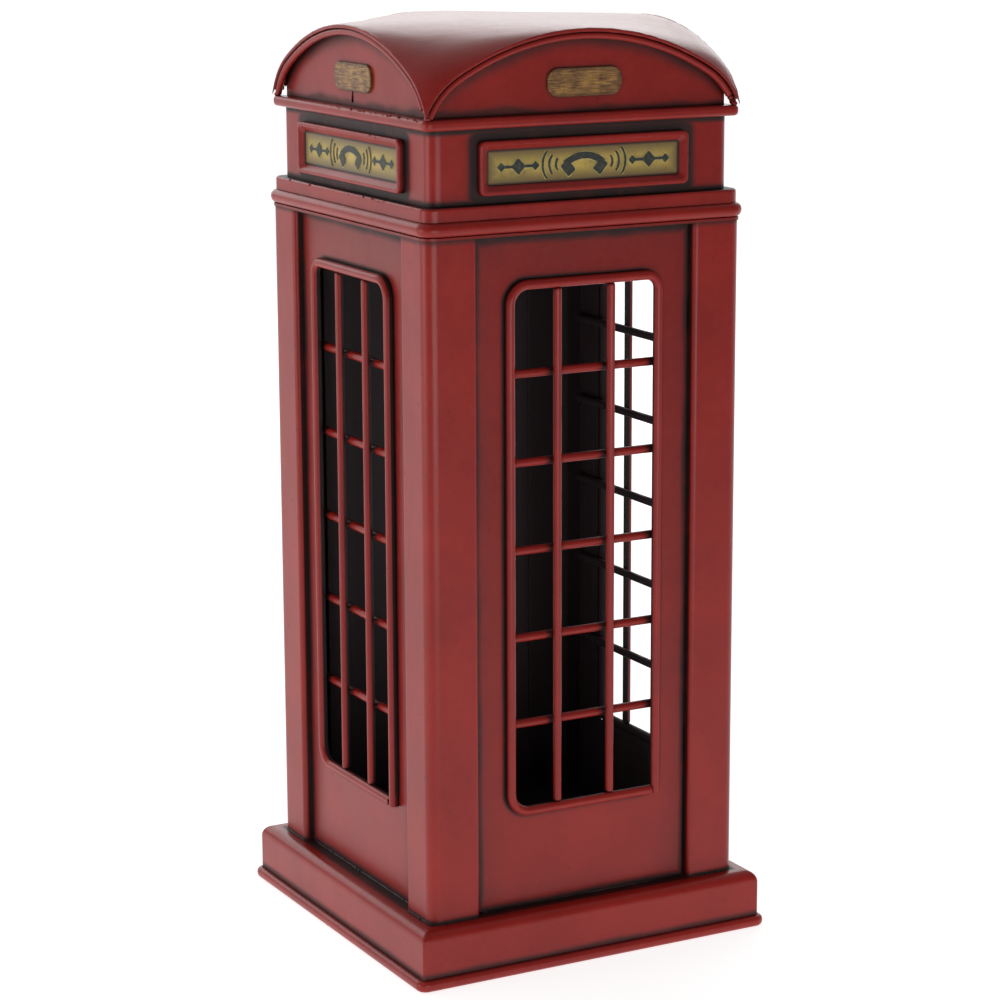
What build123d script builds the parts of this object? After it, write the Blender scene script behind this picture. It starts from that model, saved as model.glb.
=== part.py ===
from build123d import *
import math
import os

# A sheet-metal and wire model of a street telephone booth, in millimetres.
# The origin is the centre of the footprint on the ground, +Z is up and the front faces -Y.
# Every size called *_half is measured from the booth's vertical centre line to an outer face.

# ---- driving dimensions -------------------------------------------------------------------
SHEET = 1.2                # posts, plinth, sign box and roof
PANEL_SHEET = 0.8          # walls and door leaf
SOLDER_GAP = 0.02          # hairline between wires and the sheet that they are soldered to
TOLERANCE = 0.01           # for telling which edges lie on an outline

RIM_HALF = 82.4            # foot ring under the plinth
RIM_WIDTH = 4.9
RIM_HEIGHT = 4.6
RIM_CORNER = 4.5
RIM_ROUND = 2.0

PLINTH_HALF = 79.7
PLINTH_TOP = 24.0
PLINTH_ROUND = 4.5
PLINTH_CORNER = 0.8

BODY_HALF = 72.0           # outer faces of the four corner posts
POST_FLANGE = 22.5
POST_ARRIS = 5.0
POST_BEND = 0.8
PANEL_RECESS = 3.9         # the walls lie this far behind the faces of the posts
POST_RETURN = 5.1
POST_TOP = 301.0

WINDOW_HALF = 34.0         # centre lines of the window frame's rods
WINDOW_BOTTOM = 65.0
WINDOW_TOP = 281.2
FRAME_ROD = 2.0            # radius
FRAME_STAND = 1.5          # centre of the rod in front of the wall's face
FRAME_END_GAP = 0.2        # between the frame's first end and its last leg
FRAME_LAST_GAP = 0.05      # between the last leg's end and the corner of the hole in the wall
BAR_ROD = 1.75             # radius
UPRIGHT_TIP = 0.9          # rounding of the uprights' ends
CROSSBAR_TIP = 0.4
UPRIGHT_HALF = 12.3
PANE_ROWS = 6
CROSSBAR_HALF = 48.8
DOOR_CROSSBAR_HALF = 42.4

HEADER_HALF = 72.4         # plate that closes the cabin's top
HEADER_THICKNESS = 1.2
BEAD_HALF = 73.7
BEAD_WIDTH = 5.2
BEAD_HEIGHT = 5.9
BEAD_CORNER = 6.5
BEAD_FLAT = 0.2            # flat left between the bead's two rounded edges
BAND_HALF = 71.7
BAND_WIDTH = 6.7
BAND_HEIGHT = 5.4
BAND_CORNER = 5.5
BAND_ROUND = 1.0
BOX_HALF = 68.0            # sign box
BOX_HEIGHT = 29.5
BOX_CORNER = 5.0
CROWN_HALF = 71.4          # ring on top of the sign box
CROWN_WIDTH = 9.4
CROWN_HEIGHT = 4.3
CROWN_CORNER = 3.0
CROWN_ROUND = 1.6

SIGN_LENGTH = 94.4
SIGN_HEIGHT = 21.2
SIGN_DEPTH = 3.0
SIGN_BORDER = 4.0
SIGN_SLOPE = 2.4           # width of the border's inner bevel
SIGN_ROUND = 0.8
SIGN_CORNER = 1.2          # corner radius of the opening
SIGN_CORNER_SPREAD = 0.3   # extra corner radius for each millimetre outside the opening
SIGN_DROP = 0.6            # middle of the sign below the middle of the box
SIGN_PLATE_THICKNESS = 0.8

ROOF_HALF = 71.0
ROOF_FOOT = 348.6          # top of the roof sheet at its four corners
ARCH_RADIUS = 112.0        # middle of each arch
SHOULDER_RADIUS = 32.0     # its two ends
SHOULDER_START = 58.0      # distance from the middle at which the end arcs begin
ROOF_DOME = 1.9            # extra rise of the middle of the roof above the four arches
ROOF_GRID = 24
ROOF_FIT = 0.02            # how closely the roof follows its grid of points
ARCH_ROD = 1.4             # radius
ARCH_ROD_INSET = 0.2       # front of the rod behind the roof's edge
ARCH_REACH = 68.4          # how far each rod runs out to the corner on its left
ARCH_STOP = 66.7           # where it stops behind its neighbour on its right
PEDIMENT_FACE = 66.4
PEDIMENT_THICKNESS = 1.0
PEDIMENT_GAP = 0.3         # under the roof sheet
SLOT_WIDTH = 1.9           # slot in the left pediment
SLOT_HEIGHT = 2.8
SLOT_CORNER = 0.6
SLOT_OFFSET = -2.5         # across the pediment
SLOT_RISE = 3.0            # middle of the slot above the crown ring

PLAQUE_LENGTH = 33.6
PLAQUE_HEIGHT = 11.3
PLAQUE_CORNER = 4.8
PLAQUE_ROUND = 0.4
PLAQUE_THICKNESS = 1.1
PLAQUE_RISE = 11.9         # centre of the plaque above the crown ring
PLAQUE_SHIFT = {"front": 1.2, "right": 0.0, "rear": 0.0, "left": -0.7}  # off centre, as fixed by hand

DOOR_SIDE_GAP = 0.8
DOOR_END_GAP = 0.6
PIVOT_INSET = 4.5          # pivot axis from the post beside it
PIVOT_ROD = 1.2            # radius
PIVOT_TIP = 0.3
PIVOT_CLEARANCE = 0.05
PIVOT_TAIL = 3.0           # how far each end of the pivot rod stands beyond its hole
COLLAR_RADIUS = 2.6
COLLAR_GAP = 0.1
STOP_HEIGHT = 14.0
STOP_REACH = 5.0
STOP_LEVELS = (83.0, 263.3)

# ---- derived dimensions -------------------------------------------------------------------
PANEL_FACE = BODY_HALF - PANEL_RECESS
PANEL_BACK = PANEL_FACE - PANEL_SHEET
PANEL_HALF = BODY_HALF - POST_FLANGE
RETURN_END = BODY_HALF - POST_RETURN
FRAME_DEPTH = PANEL_FACE + FRAME_STAND
CROSSBAR_DEPTH = PANEL_BACK - BAR_ROD - SOLDER_GAP
UPRIGHT_DEPTH = PANEL_BACK + BAR_ROD + SOLDER_GAP
PANE_PITCH = (WINDOW_TOP - WINDOW_BOTTOM) / PANE_ROWS
CUT_MARGIN = math.sqrt(FRAME_ROD**2 - FRAME_STAND**2) + SOLDER_GAP

BEAD_BOTTOM = POST_TOP + HEADER_THICKNESS
BAND_BOTTOM = BEAD_BOTTOM + BEAD_HEIGHT
BOX_BOTTOM = BAND_BOTTOM + BAND_HEIGHT
CROWN_BOTTOM = BOX_BOTTOM + BOX_HEIGHT
CROWN_TOP = CROWN_BOTTOM + CROWN_HEIGHT
SIGN_MIDDLE = BOX_BOTTOM + BOX_HEIGHT / 2 - SIGN_DROP
PLAQUE_MIDDLE = CROWN_TOP + PLAQUE_RISE

ARCH_TURN = math.asin(SHOULDER_START / ARCH_RADIUS)
SHOULDER_CENTRE = SHOULDER_START - SHOULDER_RADIUS * math.sin(ARCH_TURN)
FOOT_TURN = math.asin((ROOF_HALF - SHOULDER_CENTRE) / SHOULDER_RADIUS)
ARCH_RISE = (ARCH_RADIUS * (1 - math.cos(ARCH_TURN))
             + SHOULDER_RADIUS * (math.cos(ARCH_TURN) - math.cos(FOOT_TURN)))

PIVOT_X = -PANEL_HALF + PIVOT_INSET
PIVOT_DEPTH = PANEL_BACK - PIVOT_ROD - SOLDER_GAP
DOOR_HALF = PANEL_HALF - DOOR_SIDE_GAP
DOOR_BOTTOM = PLINTH_TOP + DOOR_END_GAP
DOOR_TOP = POST_TOP - DOOR_END_GAP

# Turn about Z that takes a piece made for the front to each side.
SIDE_TURN = {"front": 0, "right": 90, "rear": 180, "left": 270}

# Bend radii of each window frame: top left, bottom left, top right, seen from outside.
FRAME_BENDS = {
    "front": (8.0, 8.0, 5.5),
    "left": (5.0, 8.0, 8.0),
    "right": (8.0, 8.0, 5.5),
}

parts = {}


# ---- helpers ------------------------------------------------------------------------------
def facing(outline, depth, thickness):
    """A flat sheet drawn as seen from the front: its outer face at -depth, grown inwards."""
    plane = Plane(origin=(0, -depth, 0), x_dir=(1, 0, 0), z_dir=(0, -1, 0))
    return extrude(plane * outline, amount=-thickness)


def ring(outer_half, width, bottom, height, corner):
    """A square ring with rounded corners, lying flat."""
    inner_half = outer_half - width
    inner_corner = max(corner - width, 0.5)
    outline = RectangleRounded(2 * outer_half, 2 * outer_half, corner)
    outline -= RectangleRounded(2 * inner_half, 2 * inner_half, inner_corner)
    return extrude(Pos(0, 0, bottom) * outline, amount=height)


def outer_edges(shape, level, outer_half):
    """The edges at one height that lie round the outside of a square piece."""
    flat = shape.edges().filter_by(lambda edge: abs(edge.center().Z - level) < TOLERANCE)
    return flat.filter_by(lambda edge: edge_is_outside(edge, outer_half))


def edge_is_outside(edge, outer_half):
    """True for the outer outline: its corner arcs start on an outer face."""
    ends = [edge.position_at(0), edge.position_at(1)]
    return all(abs(max(abs(end.X), abs(end.Y)) - outer_half) < TOLERANCE for end in ends)


def turned(shape, side):
    """The piece, made for the front, moved round to another side."""
    return Rot(0, 0, SIDE_TURN[side]) * shape


def rod_between(start, end, radius, tip):
    """A straight round rod, with its two end rims rounded by tip."""
    axis = Vector(*end) - Vector(*start)
    plane = Plane(origin=start, z_dir=axis)
    rod = extrude(plane * Circle(radius), amount=axis.length)
    return fillet(rod.edges().filter_by(GeomType.CIRCLE), tip)


def arch_line(inset, left, right):
    """The arch seen from the front, inset below the roof, from -left to right.

    Three tangent arcs: a shoulder, the wide middle and the other shoulder.
    """
    shoulder = SHOULDER_RADIUS - inset
    middle = ARCH_RADIUS - inset
    left_turn = math.asin((left - SHOULDER_CENTRE) / shoulder)
    right_turn = math.asin((right - SHOULDER_CENTRE) / shoulder)
    crest = ROOF_FOOT + ARCH_RISE
    centre_drop = ARCH_RADIUS - (ARCH_RADIUS - SHOULDER_RADIUS) * math.cos(ARCH_TURN)
    foot_level = crest - centre_drop + shoulder * math.cos(left_turn)
    rising = (math.cos(left_turn), math.sin(left_turn))
    first = JernArc((-left, foot_level), rising, shoulder, -math.degrees(left_turn - ARCH_TURN))
    second = JernArc(first @ 1, first % 1, middle, -2 * math.degrees(ARCH_TURN))
    third = JernArc(second @ 1, second % 1, shoulder, -math.degrees(right_turn - ARCH_TURN))
    return first + second + third


def arch_height(distance):
    """Height of the arch at a distance from its middle, from 0 at its feet to 1 at its crest."""
    distance = abs(distance)
    if distance <= SHOULDER_START:
        drop = ARCH_RADIUS - math.sqrt(ARCH_RADIUS**2 - distance**2)
        return 1 - drop / ARCH_RISE
    foot = SHOULDER_RADIUS * math.cos(FOOT_TURN)
    rise = math.sqrt(SHOULDER_RADIUS**2 - (distance - SHOULDER_CENTRE) ** 2) - foot
    return rise / ARCH_RISE


# ---- foot and plinth ----------------------------------------------------------------------
def make_foot_ring():
    foot = ring(RIM_HALF, RIM_WIDTH, 0, RIM_HEIGHT, RIM_CORNER)
    edges = outer_edges(foot, 0, RIM_HALF) + outer_edges(foot, RIM_HEIGHT, RIM_HALF)
    return fillet(edges, RIM_ROUND)


def make_plinth():
    """A tray turned upside down: four skirts and the top that the posts stand on."""
    height = PLINTH_TOP - RIM_HEIGHT
    footprint = RectangleRounded(2 * PLINTH_HALF, 2 * PLINTH_HALF, PLINTH_CORNER)
    block = extrude(Pos(0, 0, RIM_HEIGHT) * footprint, amount=height)
    block = fillet(block.faces().sort_by(Axis.Z)[-1].edges(), PLINTH_ROUND)
    inner = 2 * (PLINTH_HALF - SHEET)
    hollow = extrude(Pos(0, 0, RIM_HEIGHT) * Rectangle(inner, inner), amount=height - SHEET)
    hollow = fillet(hollow.faces().sort_by(Axis.Z)[-1].edges(), PLINTH_ROUND - SHEET)
    return block - hollow - pivot_hole(PLINTH_TOP - SHEET, SHEET)


def pivot_hole(bottom, thickness):
    """The hole in a plate that an end of the door's pivot rod turns in."""
    hole = Pos(PIVOT_X, -PIVOT_DEPTH, bottom) * Circle(PIVOT_ROD + PIVOT_CLEARANCE)
    return extrude(hole, amount=thickness)


# ---- posts and walls ----------------------------------------------------------------------
def make_post():
    """The front left post: an angle of sheet with a rounded arris and two inward returns."""
    section = post_outline(BODY_HALF, PANEL_HALF, POST_ARRIS, POST_BEND + SHEET)
    section -= post_outline(BODY_HALF - SHEET, PANEL_HALF + SHEET, POST_ARRIS - SHEET, POST_BEND)
    inner_corner = Pos(-RETURN_END + BODY_HALF / 2, -RETURN_END + BODY_HALF / 2)
    section -= inner_corner * Rectangle(BODY_HALF, BODY_HALF)
    return extrude(Pos(0, 0, PLINTH_TOP) * section, amount=POST_TOP - PLINTH_TOP)


def post_outline(outer, inner, arris, bend):
    """A square in the front left quarter, its outer corner and the two beside it rounded."""
    outline = Pos(-(outer + inner) / 2, -(outer + inner) / 2) * Rectangle(outer - inner, outer - inner)
    outline = fillet(nearest_vertex(outline, (-outer, -outer)), arris)
    outline = fillet(nearest_vertex(outline, (-outer, -inner)), bend)
    return fillet(nearest_vertex(outline, (-inner, -outer)), bend)


def nearest_vertex(outline, corner):
    return outline.vertices().sort_by_distance((*corner, 0))[0]


def window_cut(bends):
    """Outline of the hole in a wall: the frame's centre line grown until the rod rests on its edge."""
    top_left, bottom_left, top_right = bends
    left = -WINDOW_HALF - CUT_MARGIN
    right = WINDOW_HALF + CUT_MARGIN
    bottom = WINDOW_BOTTOM - CUT_MARGIN
    top = WINDOW_TOP + CUT_MARGIN
    outline = Pos((left + right) / 2, (bottom + top) / 2) * Rectangle(right - left, top - bottom)
    outline = fillet(nearest_vertex(outline, (left, top)), top_left + CUT_MARGIN)
    outline = fillet(nearest_vertex(outline, (left, bottom)), bottom_left + CUT_MARGIN)
    return fillet(nearest_vertex(outline, (right, top)), top_right + CUT_MARGIN)


def make_wall(half_width, bottom, top, bends=None):
    outline = Pos(0, (bottom + top) / 2) * Rectangle(2 * half_width, top - bottom)
    if bends:
        outline -= window_cut(bends)
    return facing(outline, PANEL_FACE, PANEL_SHEET)


# ---- window wires -------------------------------------------------------------------------
def make_window_frame(bends):
    """One bent rod: along the bottom, up the left, over the top and down the right.

    Its two ends meet at the open bottom right corner, where the last leg runs past the first.
    """
    top_left, bottom_left, top_right = bends
    first_end = WINDOW_HALF - FRAME_ROD - FRAME_END_GAP
    last_end = WINDOW_BOTTOM - CUT_MARGIN + FRAME_LAST_GAP
    path = FilletPolyline(
        (first_end, -FRAME_DEPTH, WINDOW_BOTTOM),
        (-WINDOW_HALF, -FRAME_DEPTH, WINDOW_BOTTOM),
        (-WINDOW_HALF, -FRAME_DEPTH, WINDOW_TOP),
        (WINDOW_HALF, -FRAME_DEPTH, WINDOW_TOP),
        (WINDOW_HALF, -FRAME_DEPTH, last_end),
        radius=[bottom_left, top_left, top_right],
    )
    section = Plane(origin=path @ 0, z_dir=path % 0) * Circle(FRAME_ROD)
    return sweep(section, path=path)


def make_upright(position):
    bottom = WINDOW_BOTTOM + FRAME_ROD + SOLDER_GAP
    top = WINDOW_TOP - FRAME_ROD - SOLDER_GAP
    start = (position, -UPRIGHT_DEPTH, bottom)
    return rod_between(start, (position, -UPRIGHT_DEPTH, top), BAR_ROD, UPRIGHT_TIP)


def make_crossbars(half_length):
    bars = []
    for row in range(1, PANE_ROWS):
        level = WINDOW_BOTTOM + row * PANE_PITCH
        start = (-half_length, -CROSSBAR_DEPTH, level)
        end = (half_length, -CROSSBAR_DEPTH, level)
        bars.append(rod_between(start, end, BAR_ROD, CROSSBAR_TIP))
    return Compound(children=bars)


# ---- door hardware ------------------------------------------------------------------------
def make_pivot_rod():
    start = (PIVOT_X, -PIVOT_DEPTH, PLINTH_TOP - SHEET - PIVOT_TAIL)
    end = (PIVOT_X, -PIVOT_DEPTH, POST_TOP + HEADER_THICKNESS + PIVOT_TAIL)
    return rod_between(start, end, PIVOT_ROD, PIVOT_TIP)


def make_pivot_collar():
    """The washer on the pivot rod that carries the door on the plinth."""
    bottom = PLINTH_TOP + COLLAR_GAP
    washer = Circle(COLLAR_RADIUS) - Circle(PIVOT_ROD)
    return extrude(Pos(PIVOT_X, -PIVOT_DEPTH, bottom) * washer, amount=DOOR_BOTTOM - bottom)


def make_door_stops():
    """Two tabs behind the free edge of the door, soldered to the end of the post's return."""
    inner = PANEL_HALF - STOP_REACH
    outer = PANEL_HALF + SHEET
    tabs = []
    for level in STOP_LEVELS:
        outline = Pos((inner + outer) / 2, level) * Rectangle(outer - inner, STOP_HEIGHT)
        tabs.append(facing(outline, RETURN_END, PANEL_SHEET))
    return Compound(children=tabs)


# ---- cornice and sign box -----------------------------------------------------------------
def make_header_plate():
    plate = Pos(0, 0, POST_TOP) * RectangleRounded(2 * HEADER_HALF, 2 * HEADER_HALF, POST_ARRIS)
    return extrude(plate, amount=HEADER_THICKNESS) - pivot_hole(POST_TOP, HEADER_THICKNESS)


def make_cornice_bead():
    bead = ring(BEAD_HALF, BEAD_WIDTH, BEAD_BOTTOM, BEAD_HEIGHT, BEAD_CORNER)
    edges = outer_edges(bead, BEAD_BOTTOM, BEAD_HALF) + outer_edges(bead, BAND_BOTTOM, BEAD_HALF)
    return fillet(edges, (BEAD_HEIGHT - BEAD_FLAT) / 2)


def make_cornice_band():
    band = ring(BAND_HALF, BAND_WIDTH, BAND_BOTTOM, BAND_HEIGHT, BAND_CORNER)
    return fillet(outer_edges(band, BOX_BOTTOM, BAND_HALF), BAND_ROUND)


def make_sign_box():
    return ring(BOX_HALF, SHEET, BOX_BOTTOM, BOX_HEIGHT, BOX_CORNER)


def make_crown_ring():
    crown = ring(CROWN_HALF, CROWN_WIDTH, CROWN_BOTTOM, CROWN_HEIGHT, CROWN_CORNER)
    edges = outer_edges(crown, CROWN_BOTTOM, CROWN_HALF) + outer_edges(crown, CROWN_TOP, CROWN_HALF)
    return fillet(edges, CROWN_ROUND)


def sign_section(grow, depth):
    """The sign's opening, grown on every side, at a depth in front of the booth's centre."""
    length = SIGN_LENGTH - 2 * SIGN_BORDER + 2 * grow
    height = SIGN_HEIGHT - 2 * SIGN_BORDER + 2 * grow
    plane = Plane(origin=(0, -depth, SIGN_MIDDLE), x_dir=(1, 0, 0), z_dir=(0, -1, 0))
    return plane * RectangleRounded(length, height, SIGN_CORNER + SIGN_CORNER_SPREAD * grow)


def make_sign_frame():
    """A raised border whose inner faces slope back to the plate."""
    block = extrude(sign_section(SIGN_BORDER, BOX_HALF), amount=SIGN_DEPTH)
    front = block.faces().sort_by(Axis.Y)[0]
    block = fillet(front.edges(), SIGN_ROUND)
    block -= extrude(sign_section(0, BOX_HALF), amount=SIGN_PLATE_THICKNESS)
    pocket = loft([sign_section(0, BOX_HALF + SIGN_PLATE_THICKNESS),
                   sign_section(SIGN_SLOPE, BOX_HALF + SIGN_DEPTH)])
    return block - pocket


def make_sign_plate():
    return extrude(sign_section(0, BOX_HALF), amount=SIGN_PLATE_THICKNESS)


# ---- roof ---------------------------------------------------------------------------------
def make_pediment(half_width, with_slot):
    """The segmental gable under one arch, with its flat foot on the crown ring."""
    top = arch_line(SHEET + PEDIMENT_GAP, half_width, half_width)
    left_foot = (-half_width, CROWN_TOP)
    right_foot = (half_width, CROWN_TOP)
    sides = Line(left_foot, top @ 0) + Line(top @ 1, right_foot) + Line(right_foot, left_foot)
    outline = make_face(top + sides)
    if with_slot:
        slot = RectangleRounded(SLOT_WIDTH, SLOT_HEIGHT, SLOT_CORNER)
        outline -= Pos(SLOT_OFFSET, CROWN_TOP + SLOT_RISE) * slot
    return facing(outline, PEDIMENT_FACE, PEDIMENT_THICKNESS)


def make_plaque(shift):
    outline = Pos(shift, PLAQUE_MIDDLE) * RectangleRounded(PLAQUE_LENGTH, PLAQUE_HEIGHT, PLAQUE_CORNER)
    plaque = facing(outline, PEDIMENT_FACE + PLAQUE_THICKNESS, PLAQUE_THICKNESS)
    front = plaque.faces().sort_by(Axis.Y)[0]
    return fillet(front.edges(), PLAQUE_ROUND)


def make_arch_rod():
    """The wire that stiffens the roof's edge, tucked under it in front of the pediment.

    It runs out to the corner on its left and stops behind the next rod on its right.
    """
    depth = ROOF_HALF - ARCH_ROD - ARCH_ROD_INSET
    plane = Plane(origin=(0, -depth, 0), x_dir=(1, 0, 0), z_dir=(0, -1, 0))
    path = plane * arch_line(SHEET + ARCH_ROD, ARCH_REACH, ARCH_STOP)
    section = Plane(origin=path @ 0, z_dir=path % 0) * Circle(ARCH_ROD)
    return sweep(section, path=path)


def make_roof():
    """One formed sheet: four arched edges, valleys that fade from the corners, a low dome."""
    steps = [-ROOF_HALF + 2 * ROOF_HALF * index / ROOF_GRID for index in range(ROOF_GRID + 1)]
    heights = [arch_height(step) for step in steps]
    rows = []
    for x, along in zip(steps, heights):
        row = []
        for y, across in zip(steps, heights):
            vault = 1 - (1 - along) * (1 - across)
            level = ROOF_FOOT + ARCH_RISE * vault + ROOF_DOME * along * across
            row.append(Vector(x, y, level))
        rows.append(row)
    surface = Face.make_surface_from_array_of_points(rows, tol=ROOF_FIT)
    return extrude(surface, amount=SHEET, dir=(0, 0, -1))


# ---- assembly -----------------------------------------------------------------------------
parts["foot_ring"] = make_foot_ring()
parts["plinth"] = make_plinth()
POST_SIDE = {"front_left": "front", "front_right": "right", "rear_right": "rear", "rear_left": "left"}
for place, side in POST_SIDE.items():
    parts[place + "_post"] = turned(make_post(), side)

for side in ("left", "right"):
    parts[side + "_wall"] = turned(make_wall(PANEL_HALF, PLINTH_TOP, POST_TOP, FRAME_BENDS[side]), side)
    parts[side + "_window_frame"] = turned(make_window_frame(FRAME_BENDS[side]), side)
    parts[side + "_window_crossbars"] = turned(make_crossbars(CROSSBAR_HALF), side)
    parts[side + "_window_upright_1"] = turned(make_upright(-UPRIGHT_HALF), side)
    parts[side + "_window_upright_2"] = turned(make_upright(UPRIGHT_HALF), side)
parts["rear_wall"] = turned(make_wall(PANEL_HALF, PLINTH_TOP, POST_TOP), "rear")

parts["door_leaf"] = make_wall(DOOR_HALF, DOOR_BOTTOM, DOOR_TOP, FRAME_BENDS["front"])
parts["door_window_frame"] = make_window_frame(FRAME_BENDS["front"])
parts["door_crossbars"] = make_crossbars(DOOR_CROSSBAR_HALF)
parts["door_upright_1"] = make_upright(-UPRIGHT_HALF)
parts["door_upright_2"] = make_upright(UPRIGHT_HALF)
parts["door_pivot_rod"] = make_pivot_rod()
parts["door_pivot_collar"] = make_pivot_collar()
parts["door_stops"] = make_door_stops()

parts["header_plate"] = make_header_plate()
parts["cornice_bead"] = make_cornice_bead()
parts["cornice_band"] = make_cornice_band()
parts["sign_box"] = make_sign_box()
parts["crown_ring"] = make_crown_ring()

for side in SIDE_TURN:
    parts[side + "_sign_frame"] = turned(make_sign_frame(), side)
    parts[side + "_sign_plate"] = turned(make_sign_plate(), side)
    parts[side + "_plaque"] = turned(make_plaque(PLAQUE_SHIFT[side]), side)
    gable_half = PEDIMENT_FACE if side in ("front", "rear") else PEDIMENT_FACE - PEDIMENT_THICKNESS
    parts[side + "_pediment"] = turned(make_pediment(gable_half, side == "left"), side)
    parts[side + "_arch_rod"] = turned(make_arch_rod(), side)
parts["roof"] = make_roof()

os.makedirs("parts", exist_ok=True)
for name, shape in parts.items():
    export_step(shape, "parts/" + name + ".step")
print(len(parts), "parts, crest", round(ROOF_FOOT + ARCH_RISE + ROOF_DOME, 2))
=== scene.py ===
"""The looks of the telephone booth: its materials, sign art, solder and paint, room and camera."""

import math
import random

import bmesh
import bpy
from mathutils import Matrix, Vector, noise

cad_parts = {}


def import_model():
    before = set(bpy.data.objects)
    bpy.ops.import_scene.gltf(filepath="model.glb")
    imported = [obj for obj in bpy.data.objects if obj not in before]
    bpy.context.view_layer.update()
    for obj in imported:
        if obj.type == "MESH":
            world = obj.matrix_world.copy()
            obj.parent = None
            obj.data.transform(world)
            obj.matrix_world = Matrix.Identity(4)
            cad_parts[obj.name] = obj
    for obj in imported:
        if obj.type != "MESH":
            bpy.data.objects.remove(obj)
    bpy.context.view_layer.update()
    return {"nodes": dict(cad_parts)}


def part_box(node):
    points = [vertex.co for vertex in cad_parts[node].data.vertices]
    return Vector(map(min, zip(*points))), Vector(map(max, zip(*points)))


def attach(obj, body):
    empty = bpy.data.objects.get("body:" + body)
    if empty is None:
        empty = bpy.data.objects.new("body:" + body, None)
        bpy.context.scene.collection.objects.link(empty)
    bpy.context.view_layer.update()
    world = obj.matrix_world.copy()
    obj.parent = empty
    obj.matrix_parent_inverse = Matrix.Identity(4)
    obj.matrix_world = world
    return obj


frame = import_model()

# Lengths are in millimetres until a mesh is made; MM turns them into Blender's metres.
MM = 0.001
SIDES = ("front", "right", "rear", "left")
WINDOWS = {"left": "left_window", "right": "right_window", "front": "door"}


# ---------------------------------------------------------------- places read from the frame


def low_high(node, axis):
    """The two ends of a CAD node along one axis, in millimetres."""
    low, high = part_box(node)
    return low[axis] / MM, high[axis] / MM


PLINTH_TOP = low_high("plinth", 2)[1]
PLINTH_HALF = low_high("plinth", 0)[1]
RING_TOP = low_high("foot_ring", 2)[1]
RING_HALF = low_high("foot_ring", 0)[1]
BODY_HALF = low_high("front_right_post", 0)[1]
PANEL_HALF = low_high("front_right_post", 0)[0]
PANEL_FACE = low_high("right_wall", 0)[1]
PANEL_BACK = low_high("right_wall", 0)[0]
POST_TOP = low_high("front_right_post", 2)[1]
BAND_BOTTOM, BOX_BOTTOM = low_high("cornice_band", 2)
BOX_HALF = low_high("sign_box", 0)[1]
CROWN_BOTTOM, CROWN_TOP = low_high("crown_ring", 2)
CROWN_HALF = low_high("crown_ring", 0)[1]
GABLE_FACE = low_high("right_pediment", 0)[1]
ROOF_TOP = low_high("roof", 2)[1]
ROOF_HALF = low_high("roof", 0)[1]
BAND_HALF = low_high("cornice_band", 0)[1]
GABLE_TOP = low_high("front_pediment", 2)[1]
ARCH_RADIUS = 112.0
SIGN_FACE = low_high("right_sign_frame", 0)[1]

FRAME_ROD = (low_high("right_window_frame", 0)[1] - low_high("right_window_frame", 0)[0]) / 2
WINDOW_HALF = low_high("right_window_frame", 1)[1] - FRAME_ROD
WINDOW_LOW = low_high("right_window_frame", 2)[0] + FRAME_ROD
WINDOW_HIGH = low_high("right_window_frame", 2)[1] - FRAME_ROD
BAR_ROD = (low_high("right_window_crossbars", 0)[1] - low_high("right_window_crossbars", 0)[0]) / 2
UPRIGHT_HALF = low_high("right_window_upright_2", 1)[1] - BAR_ROD
BAR_COUNT = 5
FIRST_BAR = low_high("right_window_crossbars", 2)[0] + BAR_ROD
BAR_STEP = (low_high("right_window_crossbars", 2)[1] - BAR_ROD - FIRST_BAR) / (BAR_COUNT - 1)

SIGN_HALF = low_high("front_sign_frame", 0)[1]
SIGN_LOW, SIGN_HIGH = low_high("front_sign_frame", 2)
PLATE_HALF = low_high("front_sign_plate", 0)[1]
PLATE_LOW, PLATE_HIGH = low_high("front_sign_plate", 2)
PLATE_FACE = low_high("right_sign_plate", 0)[1]
PLAQUE_LOW, PLAQUE_HIGH = low_high("front_plaque", 2)
PLAQUE_HALF = (low_high("rear_plaque", 0)[1] - low_high("rear_plaque", 0)[0]) / 2


# ---------------------------------------------------------------- node materials


def srgb(red, green, blue):
    """A screen colour as the linear colour a shader wants."""

    def linear(value):
        value /= 255
        return value / 12.92 if value <= 0.04045 else ((value + 0.055) / 1.055) ** 2.4

    return (linear(red), linear(green), linear(blue), 1.0)


class Field:
    """A number at every point of a surface. Sums and products of fields add the nodes for them."""

    def __init__(self, paint, socket):
        self.paint = paint
        self.socket = socket

    def __add__(self, other):
        return self.paint.math("ADD", self, other)

    def __sub__(self, other):
        return self.paint.math("SUBTRACT", self, other)

    def __rsub__(self, other):
        return self.paint.math("SUBTRACT", other, self)

    def __mul__(self, other):
        return self.paint.math("MULTIPLY", self, other)

    def __abs__(self):
        return self.paint.math("ABSOLUTE", self)

    __radd__ = __add__
    __rmul__ = __mul__

    def larger(self, other):
        return self.paint.math("MAXIMUM", self, other)

    def smaller(self, other):
        return self.paint.math("MINIMUM", self, other)

    def step(self, start, end):
        """Goes smoothly from 0 at start to 1 at end, whichever of the two is larger."""
        node = self.paint.node("ShaderNodeMapRange")
        node.interpolation_type = "SMOOTHSTEP"
        self.paint.feed(node.inputs["Value"], self)
        node.inputs["From Min"].default_value = start
        node.inputs["From Max"].default_value = end
        return Field(self.paint, node.outputs["Result"])


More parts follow.
